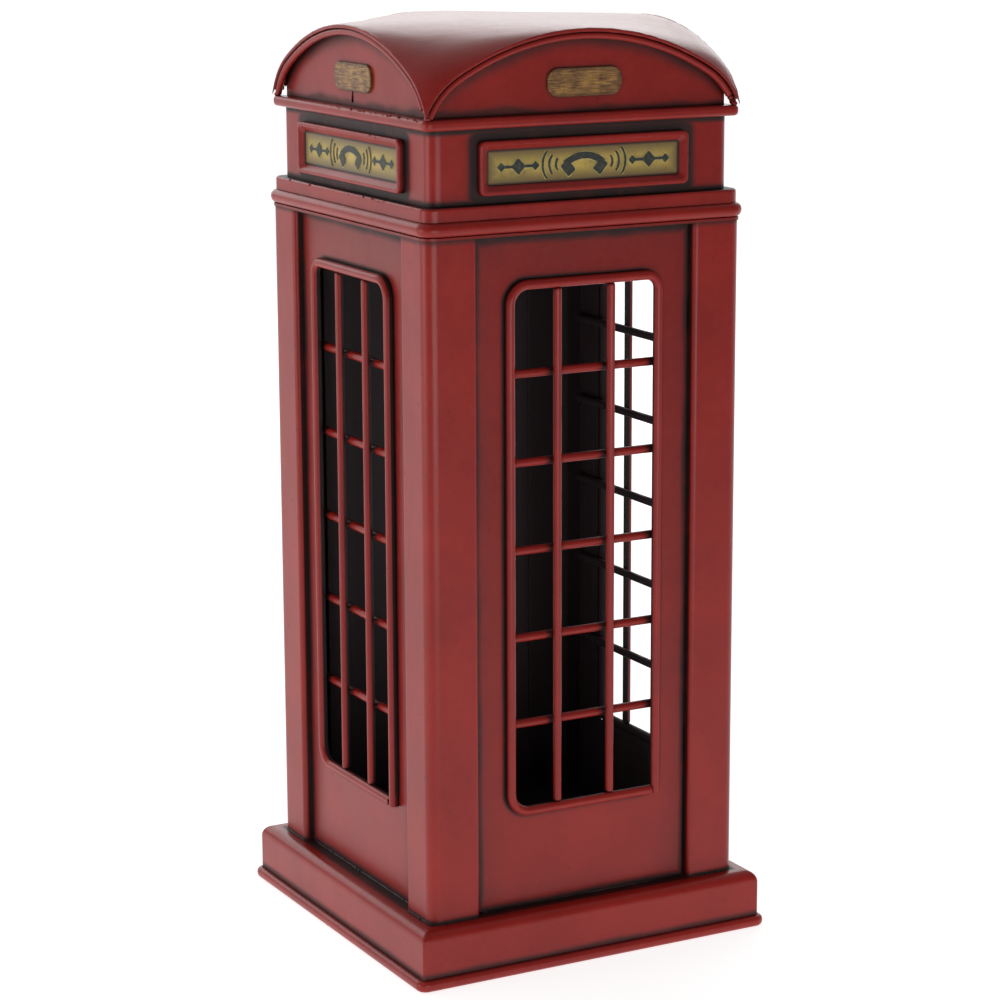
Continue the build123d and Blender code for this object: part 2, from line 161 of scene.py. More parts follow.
class Paint:
    """A node material in the making. Its coordinates are the object's own, in millimetres."""

    def __init__(self, name):
        self.material = bpy.data.materials.new(name)
        self.material.use_nodes = True
        self.tree = self.material.node_tree
        self.tree.nodes.clear()
        place = self.node("ShaderNodeTexCoord")
        scale = self.node("ShaderNodeVectorMath")
        scale.operation = "SCALE"
        scale.inputs["Scale"].default_value = 1 / MM
        self.tree.links.new(place.outputs["Object"], scale.inputs[0])
        self.point = scale.outputs["Vector"]
        self.x, self.y, self.z = self.split(self.point)
        self.nx, self.ny, self.nz = self.split(place.outputs["Normal"])

    def node(self, kind):
        return self.tree.nodes.new(kind)

    def feed(self, socket, value):
        if isinstance(value, Field):
            self.tree.links.new(value.socket, socket)
        elif isinstance(value, bpy.types.NodeSocket):
            self.tree.links.new(value, socket)
        else:
            socket.default_value = value

    def split(self, vector):
        node = self.node("ShaderNodeSeparateXYZ")
        self.feed(node.inputs[0], vector)
        return [Field(self, output) for output in node.outputs]

    def math(self, operation, *values):
        node = self.node("ShaderNodeMath")
        node.operation = operation
        for socket, value in zip(node.inputs, values):
            self.feed(socket, value)
        return Field(self, node.outputs[0])

    def stretched(self, stretch):
        node = self.node("ShaderNodeVectorMath")
        node.operation = "MULTIPLY"
        self.feed(node.inputs[0], self.point)
        node.inputs[1].default_value = stretch
        return node.outputs["Vector"]

    def noise(self, size, detail=2.0, roughness=0.5, stretch=None, twist=0.0):
        """Soft noise whose lumps are about size millimetres across, from 0 to 1."""
        node = self.node("ShaderNodeTexNoise")
        self.feed(node.inputs["Vector"], self.stretched(stretch) if stretch else self.point)
        node.inputs["Scale"].default_value = 1 / size
        node.inputs["Detail"].default_value = detail
        node.inputs["Roughness"].default_value = roughness
        node.inputs["Distortion"].default_value = twist
        return Field(self, node.outputs["Fac"])

    def specks(self, spacing, radius, share):
        """Scattered round specks: 1 inside a speck, with only a share of the cells holding one."""
        node = self.node("ShaderNodeTexVoronoi")
        self.feed(node.inputs["Vector"], self.point)
        node.inputs["Scale"].default_value = 1 / spacing
        chance = self.split(node.outputs["Color"])[0]
        reach = radius / spacing
        inside = Field(self, node.outputs["Distance"]).step(reach, 0.6 * reach)
        return inside * chance.step(share + 0.01, share)

    def mix(self, first, second, share):
        node = self.node("ShaderNodeMix")
        node.data_type = "RGBA"
        self.feed(node.inputs[0], share)
        self.feed(node.inputs[6], first)
        self.feed(node.inputs[7], second)
        return node.outputs[2]

    def openness(self, reach):
        """1 on open faces, falling to 0 in a crevice narrower than reach millimetres."""
        node = self.node("ShaderNodeAmbientOcclusion")
        node.samples = 3
        node.inputs["Distance"].default_value = reach * MM
        return Field(self, node.outputs["AO"])

    def softened(self, radius):
        """The surface normal with its sharp edges rounded off by radius millimetres."""
        node = self.node("ShaderNodeBevel")
        node.samples = 2
        node.inputs["Radius"].default_value = radius * MM
        return node.outputs["Normal"]

    def edges(self, normal):
        """How far a softened normal turns away from the true one: 0 on a face, more at an edge."""
        true = self.node("ShaderNodeNewGeometry")
        node = self.node("ShaderNodeVectorMath")
        node.operation = "DOT_PRODUCT"
        self.feed(node.inputs[0], normal)
        self.feed(node.inputs[1], true.outputs["Normal"])
        return 1.0 - Field(self, node.outputs["Value"])

    def bump(self, height, depth, normal=None):
        """Relief of depth millimetres where height goes from 0 to 1."""
        node = self.node("ShaderNodeBump")
        node.inputs["Distance"].default_value = depth * MM
        self.feed(node.inputs["Height"], height)
        if normal is not None:
            self.feed(node.inputs["Normal"], normal)
        return node.outputs["Normal"]

    def surface(self, colour, roughness, normal, metallic=0.0, gloss=0.5):
        shader = self.node("ShaderNodeBsdfPrincipled")
        self.feed(shader.inputs["Base Color"], colour)
        self.feed(shader.inputs["Roughness"], roughness)
        self.feed(shader.inputs["Normal"], normal)
        self.feed(shader.inputs["Metallic"], metallic)
        shader.inputs["Specular IOR Level"].default_value = gloss
        output = self.node("ShaderNodeOutputMaterial")
        self.tree.links.new(shader.outputs[0], output.inputs[0])
        return self.material


SIGN_OLIVE = srgb(140, 122, 66)
SIGN_YELLOW = srgb(206, 176, 84)
SIGN_SMOKE = srgb(104, 84, 54)
SIGN_STAIN = srgb(122, 84, 46)
SIGN_EDGE = srgb(58, 30, 24)
BRASS_GROUND = srgb(84, 47, 24)
BRASS_GILT = srgb(190, 144, 76)
BRASS_EDGE = srgb(74, 46, 24)
STEEL_DARK = srgb(38, 34, 33)
STEEL_GREY = srgb(66, 60, 57)
STEEL_RUBBED = srgb(112, 104, 98)
INK_DARK = srgb(36, 42, 37)
INK_THIN = srgb(78, 80, 62)
HALO_DULL = srgb(150, 140, 92)
HALO_PALE = srgb(216, 198, 120)
SOLDER_RED = srgb(112, 34, 32)
RED_DEEP = srgb(128, 22, 18)
RED_FULL = srgb(160, 36, 28)
# Pale red for worn flecks, and for the painted highlight on sharp edges.
RED_WORN_AND_HIGHLIGHT = srgb(190, 84, 76)
# Near black for the black wash and the solder, also used for painted shadow and shade.
PATINA_AND_SHADE = srgb(28, 18, 17)
CABIN_BLACK = srgb(52, 40, 42)


def around_box(paint, across, half, low, high, corner=0.5):
    """Distance from a round-cornered rectangle on a face: negative inside it, positive outside."""
    sideways = across - (half - corner)
    upright = abs(paint.z - (low + high) / 2) - ((high - low) / 2 - corner)
    beside = sideways.larger(0.0)
    above = upright.larger(0.0)
    outside = paint.math("SQRT", beside * beside + above * above)
    return outside + sideways.larger(upright).smaller(0.0) - corner


# The black wash, and the painted shadow and shade among it. A pair says how many millimetres from
# an edge it starts to show and is full.
BORDER_WASH_AND_SHADOW = (4.6, 0.8)
HEAD_WASH = (6.0, 1.2)
FOOT_WASH = (4.0, 0.8)
RIM_WASH = (4.2, 2.1)
RIM_CORNER = 8
SHADE_BORDER = 17
SHADE_HEAD = 10
POST_FOOT_WASH = (2.4, 0.5)
POST_HEAD_WASH = (2.4, 0.3)
LEDGE_WASH = (1.4, 0)
WALL_GAP_WASH = (2.6, -0.4)
SKIRT_WASH = (3.4, 0.8)
SIGN_WASH = (6.0, 2.6)
BOX_WASH = (3.0, 1.0)
GABLE_FOOT_WASH = (3.6, 0.6)
GABLE_HEAD_SHADOW = (8.5, 1.6)
BAR_WASH_AND_SHADE = (5.0, 2.0)
CREVICE = 3.0
CROSSBAR_REACH = 4.2
PEDIMENT_DEPTH = 2.4


def before(value, edge, wash_and_shade):
    """Grows from nothing to full as value comes up to an edge."""
    return value.step(edge - wash_and_shade[0], edge - wash_and_shade[1])


def beyond(value, edge, wash_and_shade):
    """Grows from nothing to full as value comes down to an edge."""
    return value.step(edge + wash_and_shade[0], edge + wash_and_shade[1])


def squared_across(paint, depth):
    """The square of a place's distance from the middle of its side."""
    return paint.x * paint.x + paint.y * paint.y - depth * depth


def panel_wash_and_shade(paint, across, depth, loose):
    """Black wash at the borders, head and foot of the four panels and in a band round their
    windows, with the posts' shadow painted on the borders and a broad painted shade towards their
    sides and heads.
    """
    z = paint.z
    on_panel = depth.step(BODY_HALF - 1.6, BODY_HALF - 2.2)
    on_panel = on_panel * depth.step(PANEL_BACK - 0.9, PANEL_BACK - 0.3)
    window = around_box(paint, across, WINDOW_HALF, WINDOW_LOW, WINDOW_HIGH, corner=RIM_CORNER)
    # Black wash along the panel borders, with the posts' shadow painted in.
    border = before(across + loose * 0.6, PANEL_HALF, BORDER_WASH_AND_SHADOW)
    head = before(z + loose * 0.8, POST_TOP, HEAD_WASH)
    foot = beyond(z - loose * 0.4, PLINTH_TOP, FOOT_WASH)
    has_window = paint.y.step(PANEL_BACK - 2, PANEL_BACK - 3)
    rim = beyond(abs(window) + loose * 0.3, 0, RIM_WASH) * has_window
    # Painted shade: a broad faint darkening towards the panels' sides and heads.
    shade = across.step(PANEL_HALF - SHADE_BORDER, PANEL_HALF)
    shade = shade.larger(z.step(WINDOW_HIGH - SHADE_HEAD, POST_TOP)) * 0.3
    return border.larger(head).larger(foot).larger(rim).larger(shade) * on_panel


def plinth_wash(paint, across, depth, loose):
    """The plinth's top beside the posts and walls, and the line over the foot ring."""
    z = paint.z
    step_top = paint.nz.step(0.5, 0.9) * abs(z - PLINTH_TOP).step(0.5, 0.2)
    ledge = beyond(depth - loose * 0.15, BODY_HALF, LEDGE_WASH) * step_top * 0.9
    wall_gap = beyond(depth - loose * 0.25, BODY_HALF, WALL_GAP_WASH) * step_top
    wall_gap = wall_gap * across.step(PANEL_HALF + 1, PANEL_HALF - 1)
    skirt = beyond(z - loose * 0.35, RING_TOP, SKIRT_WASH) * z.step(RING_TOP - 0.3, RING_TOP) * 0.85
    skirt = skirt * depth.step(PLINTH_HALF + 0.5, PLINTH_HALF + 0.1)
    return ledge.larger(wall_gap).larger(skirt)


def box_wash(paint, across, depth, loose):
    """The sign box round its frames, over the band and under the crown ring."""
    z = paint.z
    on_box = z.step(BOX_BOTTOM - 0.2, BOX_BOTTOM) * z.step(CROWN_BOTTOM + 0.2, CROWN_BOTTOM)
    sign = around_box(paint, across, SIGN_HALF, SIGN_LOW, SIGN_HIGH)
    halo = beyond(sign + loose * 0.5, 0, SIGN_WASH) * depth.step(BOX_HALF + 1.6, BOX_HALF + 0.9)
    foot = beyond(z - loose * 0.25, BOX_BOTTOM, BOX_WASH)
    head = before(z + loose * 0.25, CROWN_BOTTOM, BOX_WASH)
    return halo.larger(foot).larger(head) * on_box


def gable_wash_and_shadow(paint, depth, drift, ragged, loose):
    """Black wash on the gables over the crown ring, and painted shadow under their arches."""
    z = paint.z
    on_gable = depth.step(GABLE_FACE + 0.6, GABLE_FACE + 0.2)
    on_gable = on_gable * depth.step(GABLE_FACE - PEDIMENT_DEPTH, GABLE_FACE - PEDIMENT_DEPTH + 0.4)
    on_gable = on_gable * z.step(CROWN_TOP - 0.1, CROWN_TOP) * abs(paint.nz).step(0.4, 0.2)
    foot = beyond(z - drift * 13 - ragged * 2, CROWN_TOP, GABLE_FOOT_WASH) * 0.75
    up_arch = z - (GABLE_TOP - ARCH_RADIUS)
    radial = paint.math("SQRT", squared_across(paint, depth) + up_arch * up_arch)
    # Painted shadow under the arch wire, darkest along the pediment's curved top edge.
    head = before(radial + loose * 1.1, ARCH_RADIUS, GABLE_HEAD_SHADOW) * 0.92
    return foot.larger(head) * on_gable


def patina_and_shade(paint):
    """Where the black wash was rubbed in and where shadow and shade are painted, from 0 to 1."""
    z = paint.z
    depth = abs(paint.x).larger(abs(paint.y))
    across = abs(paint.x).smaller(abs(paint.y))
    drift = paint.noise(40, detail=2) - 0.5
    ragged = paint.noise(7, detail=3) - 0.5
    loose = drift * 5 + ragged * 1.3

    below_head = z.step(POST_TOP + 1.0, POST_TOP)
    above_foot = z.step(PLINTH_TOP + 0.03, PLINTH_TOP + 0.2)
    post_foot = beyond(z, PLINTH_TOP, POST_FOOT_WASH)
    post_head = before(z + loose * 0.3, POST_TOP, POST_HEAD_WASH) * 0.7
    post = post_foot.larger(post_head) * depth.step(PANEL_FACE, PANEL_FACE + 1)
    body = panel_wash_and_shade(paint, across, depth, loose).larger(post) * below_head * above_foot

    on_bars = depth.step(PANEL_BACK + 0.3, PANEL_BACK - 0.2)
    on_bars = on_bars * depth.step(PANEL_BACK - CROSSBAR_REACH, PANEL_BACK - CROSSBAR_REACH + 0.4)
    # Black wash with painted shade on the crossbars, beside the uprights and frame legs they pass
    # behind.
    crossing = abs(across - UPRIGHT_HALF).smaller(abs(across - WINDOW_HALF))
    bars = beyond(crossing + ragged * 3, 0, BAR_WASH_AND_SHADE) * on_bars * below_head * above_foot * 0.9

    zones = body.larger(plinth_wash(paint, across, depth, loose)).larger(bars)
    zones = zones.larger(box_wash(paint, across, depth, loose))
    zones = zones.larger(gable_wash_and_shadow(paint, depth, drift, ragged, loose))
    patchy = paint.noise(11, detail=4, roughness=0.55).step(0.2, 0.5)
    # rubbed holds the black wash together with the painted shadow and shade, made patchy.
    rubbed = zones * (0.8 + 0.2 * patchy)
    # Crevice darkening from ambient occlusion: black wash in the hollows, and painted shade there
    # too.
    crevice = paint.openness(CREVICE).step(0.8, 0.4) * z.step(RING_TOP - 1.5, RING_TOP)
    return rubbed.larger(crevice * 0.92)


def cabin_side(paint):
    """1 on what faces the cabin: the black inner coat of walls, posts, rods, floor and ceiling."""
    z = paint.z
    along_x = (abs(paint.x) - abs(paint.y)).step(-0.01, 0.01)
    outward_x = paint.nx * paint.math("SIGN", paint.x)
    outward_y = paint.ny * paint.math("SIGN", paint.y)
    outward = outward_y + (outward_x - outward_y) * along_x
    depth = abs(paint.x).larger(abs(paint.y))
    overspray = (paint.noise(4, detail=3) - 0.5) * 0.25
    inward = (outward + overspray).step(0.02, -0.22) * depth.step(BODY_HALF - 0.1, BODY_HALF - 0.4)
    inward = inward * z.step(PLINTH_TOP - 0.3, PLINTH_TOP) * z.step(POST_TOP + 0.6, POST_TOP + 0.2)
    flat = abs(paint.nz).step(0.7, 0.9) * depth.step(PANEL_FACE - 0.4, PANEL_FACE - 1.0)
    floor = z.step(PLINTH_TOP + 1, PLINTH_TOP + 0.5) * z.step(PLINTH_TOP - 2, PLINTH_TOP - 1)
    ceiling = z.step(POST_TOP - 1, POST_TOP - 0.5) * z.step(POST_TOP + 0.6, POST_TOP + 0.3)
    return inward.larger(flat * floor.larger(ceiling))


def red_paint():
    """Satin brick-red enamel over hand-cut sheet, with a black wash in its corners, painted shadow
    and shade in its recesses and a painted highlight on its sharp edges.
    """
    paint = Paint("red_paint")
    rounded = paint.softened(0.55)
    cloud = paint.noise(34, detail=3)
    mottle = paint.noise(3.2, detail=4, roughness=0.6)
    tone = ((cloud - 0.5) * 0.8 + (mottle - 0.5) * 0.45 + 0.5).step(0.0, 1.0)
    red = paint.mix(RED_DEEP, RED_FULL, tone)

    # Painted highlight: pale red along the sharp edges, where glints fall.
    edge = paint.edges(rounded).step(0.03, 0.16)
    edge_highlight = edge * paint.noise(6, detail=4, roughness=0.65).step(0.46, 0.64) * 0.8
    red = paint.mix(red, RED_WORN_AND_HIGHLIGHT, edge_highlight)
    flecks = paint.specks(7.5, 0.34, 0.22)
    red = paint.mix(red, RED_WORN_AND_HIGHLIGHT, flecks * 0.5)

    # The black wash with the painted shadow and shade.
    wash_and_shade = patina_and_shade(paint)
    pits = paint.specks(9.0, 0.3, 0.3)
    wash_and_shade = wash_and_shade.larger(pits * 0.8)
    colour = paint.mix(red, PATINA_AND_SHADE, wash_and_shade * 0.96)
    inside = cabin_side(paint)
    colour = paint.mix(colour, CABIN_BLACK, inside)

    waves = paint.noise(22, detail=2) * 0.9
    peel = paint.noise(1.1, detail=2) * 0.018
    grit = paint.noise(0.45, detail=2) * 0.008
    relief = waves * 0.35 + peel + grit + flecks * 0.05 - pits * 0.05
    normal = paint.bump(relief, 1.0, rounded)
    dull = wash_and_shade * 0.22 + inside * 0.25
    roughness = 0.30 + (mottle - 0.5) * 0.12 + dull
    return paint.surface(colour, roughness, normal, gloss=0.35)


def aged_sign():
    """Printed sign sheet: olive yellow, warmer in the middle, browned towards its border."""
    paint = Paint("aged_sign")
    across = abs(paint.x).smaller(abs(paint.y))
    border = around_box(paint, across, PLATE_HALF, PLATE_LOW, PLATE_HIGH)
    cloud = paint.noise(11, detail=5, roughness=0.6)
    grain = paint.noise(1.6, detail=4, roughness=0.7)
    glow = (cloud * 0.9 + grain * 0.35).step(0.4, 0.85)
    colour = paint.mix(SIGN_OLIVE, SIGN_YELLOW, glow)
    smoke = (border + (cloud - 0.5) * 6 + (grain - 0.5) * 2).step(-5.5, -0.2)
    colour = paint.mix(colour, SIGN_SMOKE, smoke * 0.85)
    stains = paint.noise(5, detail=4, roughness=0.7).step(0.62, 0.72)
    colour = paint.mix(colour, SIGN_STAIN, stains * 0.6)
    edge = border.step(-0.9, -0.25)
    colour = paint.mix(colour, SIGN_EDGE, edge * 0.85)
    normal = paint.bump(grain * 0.05 + cloud * 0.1, 1.0)
    return paint.surface(colour, 0.42 + (grain - 0.5) * 0.2, normal)


def antique_brass():
    """Brushed antique gold: fine strokes along the plaque over a brown ground."""
    paint = Paint("antique_brass")
    rounded = paint.softened(0.3)
    brushed = paint.noise(0.8, detail=5, roughness=0.65, stretch=(0.14, 0.14, 1.6))
    cloud = paint.noise(5, detail=5, roughness=0.65)
    gilt = (brushed * 0.8 + cloud * 0.45).step(0.46, 0.88)
    colour = paint.mix(BRASS_GROUND, BRASS_GILT, gilt)
    across = abs(paint.x).smaller(abs(paint.y))
    border = around_box(paint, across, PLAQUE_HALF, PLAQUE_LOW, PLAQUE_HIGH)
    browned = (border + (cloud - 0.5) * 1.6).step(-1.6, -0.2)
    colour = paint.mix(colour, BRASS_EDGE, browned * 0.6)
    normal = paint.bump(brushed * 0.14 + cloud * 0.1, 1.0, rounded)
    return paint.surface(colour, 0.46 - gilt * 0.12, normal, metallic=gilt * 0.3)


def dark_steel():
    """Blackened steel of the hinge pin, rubbed brighter round its edges."""
    paint = Paint("dark_steel")
    rounded = paint.softened(0.2)
    drawn = paint.noise(1.2, detail=4, stretch=(1.0, 1.0, 0.06))
    rubbed = paint.edges(rounded).step(0.03, 0.14)
    colour = paint.mix(STEEL_DARK, STEEL_GREY, drawn)
    colour = paint.mix(colour, STEEL_RUBBED, rubbed * 0.7)
    normal = paint.bump(drawn * 0.04, 1.0, rounded)
    return paint.surface(colour, 0.4 + drawn * 0.15, normal, metallic=0.8)


def sign_ink():
    """The dark green-grey ink of the pictograms, thin and slightly uneven."""
    paint = Paint("sign_ink")
    uneven = paint.noise(1.4, detail=4, roughness=0.65)
    colour = paint.mix(INK_DARK, INK_THIN, uneven.step(0.45, 0.75))
    normal = paint.bump(uneven * 0.04, 1.0)
    return paint.surface(colour, 0.5 + (uneven - 0.5) * 0.2, normal)


def sign_halo():
    """The pale outline left round the ink."""
    paint = Paint("sign_halo")
    uneven = paint.noise(2.2, detail=4, roughness=0.65)
    colour = paint.mix(HALO_DULL, HALO_PALE, uneven.step(0.35, 0.7))
    normal = paint.bump(uneven * 0.03, 1.0)
    return paint.surface(colour, 0.5 + (uneven - 0.5) * 0.15, normal)


def solder():
    """Solder and paint drawn into the joints, near black with a wet shine on its crests. It also
    colours the dark tubes of painted shadow under the arches.
    """
    paint = Paint("solder")
    lumps = paint.noise(1.6, detail=4, roughness=0.6)
    colour = paint.mix(PATINA_AND_SHADE, SOLDER_RED, lumps.step(0.6, 0.74) * 0.6)
    normal = paint.bump(lumps * 0.3, 1.0)
    return paint.surface(colour, 0.34 + lumps * 0.25, normal, gloss=0.4)


LOOKS = {
    "red_paint": red_paint(),
    "aged_sign": aged_sign(),
    "antique_brass": antique_brass(),
    "dark_steel": dark_steel(),
    "sign_ink": sign_ink(),
    "sign_halo": sign_halo(),
    "solder": solder(),
}


def slot_of(name):
    if name.endswith("_sign_plate"):
        return "aged_sign"
    if name.endswith("_plaque"):
        return "antique_brass"
    if name in ("door_pivot_rod", "door_pivot_collar"):
        return "dark_steel"
    return "red_paint"


def dress_frame():
    for name, node in frame["nodes"].items():
        node.data.materials.clear()
        node.data.materials.append(LOOKS[slot_of(name)])


# ---------------------------------------------------------------- mesh helpers


def to_side(side):
    """Turns the front's place (across, out, up) to one of the four sides."""
    return Matrix.Rotation(math.radians(90 * SIDES.index(side)), 4, "Z")


def on_face(side, across, out, up):
    """A point on a side, in metres: across to its right, out from the middle and up."""
    return to_side(side) @ (Vector((across, -out, up)) * MM)


def make_piece(name, mesh_data, look, body="booth", smooth=True):
    mesh = bpy.data.meshes.new(name)
    mesh_data.to_mesh(mesh)
    mesh_data.free()
    if smooth:
        mesh.shade_smooth()
        mesh.set_sharp_from_angle(angle=math.radians(50))
    piece = bpy.data.objects.new(name, mesh)
    bpy.context.scene.collection.objects.link(piece)
    piece.data.materials.append(LOOKS[look])
    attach(piece, body)
    return piece


def add_tube(mesh, path, radius, seed, sides=10, ends=0.45, wander=0.45):
    """A bead along a path of points in metres, its radius wandering and its ends rounded."""
    rings = []
    count = len(path)
    for i, point in enumerate(path):
        ahead = path[min(i + 1, count - 1)] - path[max(i - 1, 0)]
        ahead.normalize()
        side = ahead.cross(Vector((0, 0, 1)))
        if side.length < 0.1:
            side = ahead.cross(Vector((1, 0, 0)))
        side.normalize()
        up = side.cross(ahead)
        swell = 1 + wander * noise.noise(point / MM * 0.35 + Vector((seed, 0, 0)))
        end = min(i, count - 1 - i)
        taper = 1.0 if end > 1 else (ends if end == 0 else 0.85)
        size = radius * MM * swell * taper
        ring = []
        for k in range(sides):
            turn = 2 * math.pi * k / sides
            offset = side * math.cos(turn) + up * math.sin(turn)
            ring.append(mesh.verts.new(point + offset * size))
        rings.append(ring)
    for first, second in zip(rings, rings[1:]):
        for k in range(sides):
            mesh.faces.new((first[k], first[(k + 1) % sides], second[(k + 1) % sides], second[k]))
    mesh.faces.new(list(reversed(rings[0])))
    mesh.faces.new(rings[-1])


def add_lump(mesh, centre, size, seed):
    """An uneven blob; size is its three half-widths in millimetres."""
    made = bmesh.ops.create_icosphere(mesh, subdivisions=2, radius=1.0)
    for vertex in made["verts"]:
        swell = 1 + 0.22 * noise.noise(vertex.co * 1.7 + Vector((seed, seed * 0.37, 0)))
        vertex.co = centre + Vector(vertex.co[k] * size[k] * swell * MM for k in range(3))


def add_prism(mesh, outline, place, height):
    """A flat outline of (across, up) points raised by height; place puts it on its face."""
    low = [mesh.verts.new(place(across, 0, up)) for across, up in outline]
    high = [mesh.verts.new(place(across, height, up)) for across, up in outline]
    count = len(outline)
    for i in range(count):
        j = (i + 1) % count
        mesh.faces.new((low[i], low[j], high[j], high[i]))
    mesh.faces.new(high)
    mesh.faces.new(list(reversed(low)))


def arc(centre, radius, start, end, steps):
    """Points along an arc, angles in degrees."""
    points = []
    for i in range(steps + 1):
        turn = math.radians(start + (end - start) * i / steps)
        points.append((centre[0] + radius * math.cos(turn), centre[1] + radius * math.sin(turn)))
    return points


# ---------------------------------------------------------------- sign pictograms

INK_HEIGHT = 0.3
HALO_HEIGHT = 0.14
HALO_WIDTH = 0.3
LAYER_STEP = 0.04
ART_SINK = 0.05


def ring_sector(centre, radius, half_width, start, end, grow):
    outer = arc(centre, radius + half_width + grow, start, end, 20)
    inner = arc(centre, radius - half_width - grow, end, start, 20)
    return inner + outer


def rounded_box(centre, half_width, half_height, corner, turn, grow):
    points = []
    wide = half_width + grow - corner
    tall = half_height + grow - corner
    for sign_x, sign_y, start in ((1, 1, 0), (-1, 1, 90), (-1, -1, 180), (1, -1, 270)):
        points += arc((sign_x * wide, sign_y * tall), corner, start, start + 90, 5)
    spin = math.radians(turn)
    return [
        (
            centre[0] + across * math.cos(spin) - up * math.sin(spin),
            centre[1] + across * math.sin(spin) + up * math.cos(spin),
        )
        for across, up in points
    ]


HUB_DROP = 10.4
HANDLE_RADIUS = 13.4
HANDLE_HALF_WIDTH = 1.35
HANDLE_TURN = 40
CUP_RADIUS = 11.4
CUP_SIZE = (2.1, 2.8, 0.7)
WAVES = 3
WAVE_START = 9.4
WAVE_SHIFT = 0.6
WAVE_RADIUS = 3.4
WAVE_STEP = 2.4
WAVE_HALF_WIDTH = 0.45
WAVE_TURN = 40
RULE_MIDDLE = 29.6
RULE_SIZE = (8.6, 0.55, 0.2)
DIAMONDS = ((22.0, 1.3), (29.6, 2.3), (37.2, 1.3))
DIAMOND_CORNER = 0.25


def pictogram(grow):
    """A telephone handset between ringing waves and two rules: pairs of outline and layer."""
    shapes = []
    hub = (0.0, -HUB_DROP)
    turn = (90 - HANDLE_TURN, 90 + HANDLE_TURN)
    shapes.append((ring_sector(hub, HANDLE_RADIUS, HANDLE_HALF_WIDTH, *turn, grow), 0))
    for hand in (1, -1):
        lean = math.radians(90 - hand * HANDLE_TURN)
        cup = (hub[0] + CUP_RADIUS * math.cos(lean), hub[1] + CUP_RADIUS * math.sin(lean))
        shapes.append((rounded_box(cup, *CUP_SIZE, -hand * HANDLE_TURN, grow), 1))
        facing = 0 if hand > 0 else 180
        for wave in range(WAVES):
            middle = (hand * (WAVE_START + WAVE_SHIFT * wave), 0.0)
            radius = WAVE_RADIUS + WAVE_STEP * wave
            turn = (facing - WAVE_TURN, facing + WAVE_TURN)
            shapes.append((ring_sector(middle, radius, WAVE_HALF_WIDTH, *turn, grow), 0))
        shapes.append((rounded_box((hand * RULE_MIDDLE, 0.0), *RULE_SIZE, 0, grow), 0))
        for reach, size in DIAMONDS:
            diamond = rounded_box((hand * reach, 0.0), size, size, DIAMOND_CORNER, 45, grow)
            shapes.append((diamond, 1))
    return shapes


def sign_art(side):
    middle = (PLATE_LOW + PLATE_HIGH) / 2

    def place(across, out, up):
        return on_face(side, across, PLATE_FACE - ART_SINK + out, middle + up)

    layers = (("sign_halo", HALO_WIDTH, HALO_HEIGHT), ("sign_ink", 0.0, INK_HEIGHT))
    for look, grow, height in layers:
        mesh = bmesh.new()
        for outline, layer in pictogram(grow):
            add_prism(mesh, outline, place, height + layer * LAYER_STEP)
        make_piece(f"{side}_{look}", mesh, look, smooth=False)


# ---------------------------------------------------------------- solder and seams


def line_points(start, end, step=0.8):
    count = max(2, int((end - start).length / (step * MM)))
    return [start.lerp(end, i / count) for i in range(count + 1)]


def evened(path, step=1.4):
    """The same path with its points step millimetres apart."""
    lengths = [0.0]
    for first, second in zip(path, path[1:]):
        lengths.append(lengths[-1] + (second - first).length)
    count = round(lengths[-1] / (step * MM))
    points = []
    piece = 0
    for i in range(count + 1):
        reach = lengths[-1] * i / count
        while piece < len(path) - 2 and lengths[piece + 1] < reach:
            piece += 1
        share = (reach - lengths[piece]) / (lengths[piece + 1] - lengths[piece])
        points.append(path[piece].lerp(path[piece + 1], share))
    return points


def post_foot_path(side):
    """Round the outside of the post on a side's right, from one flange end to the other."""
    inset = 1.2
    arris = 5.0
    height = PLINTH_TOP + 0.15
    first = on_face(side, PANEL_HALF + inset, BODY_HALF, height)
    turn_in = on_face(side, BODY_HALF - arris, BODY_HALF, height)
    turn_out = on_face(side, BODY_HALF, BODY_HALF - arris, height)
    last = on_face(side, BODY_HALF, PANEL_HALF + inset, height)
    middle = on_face(side, BODY_HALF - arris, BODY_HALF - arris, height)
    bend = []
    for i in range(1, 10):
        swing = (turn_in - middle).lerp(turn_out - middle, i / 10)
        bend.append(middle + swing.normalized() * arris * MM)
    return line_points(first, turn_in) + bend + line_points(turn_out, last)


def foot_solder():
    """The bead that fixes the posts and walls to the plinth."""
    chance = random.Random(7)
    for index, side in enumerate(SIDES):
        mesh = bmesh.new()
        path = post_foot_path(side)
        add_tube(mesh, path, 0.38, 11.3 * index)
        for point in path[3:-3]:
            if chance.random() < 0.16:
                size = chance.uniform(0.5, 0.95)
                add_lump(mesh, point, (size * 1.2, size * 1.2, size * 0.8), chance.uniform(0, 50))
        make_piece(f"{side}_post_solder", mesh, "solder")
    for index, side in enumerate(SIDES):
        if side == "front":
            continue
        mesh = bmesh.new()
        inset = 0.6
        height = PLINTH_TOP + 0.1
        start = on_face(side, inset - PANEL_HALF, PANEL_FACE, height)
        end = on_face(side, PANEL_HALF - inset, PANEL_FACE, height)
        path = line_points(start, end)
        add_tube(mesh, path, 0.45, 40 + 7.1 * index)
        for point in path[3:-3]:
            if chance.random() < 0.08:
                size = chance.uniform(0.6, 1.0)
                add_lump(mesh, point, (size * 1.2, size * 1.2, size * 0.8), chance.uniform(0, 50))
        make_piece(f"{side}_wall_solder", mesh, "solder")


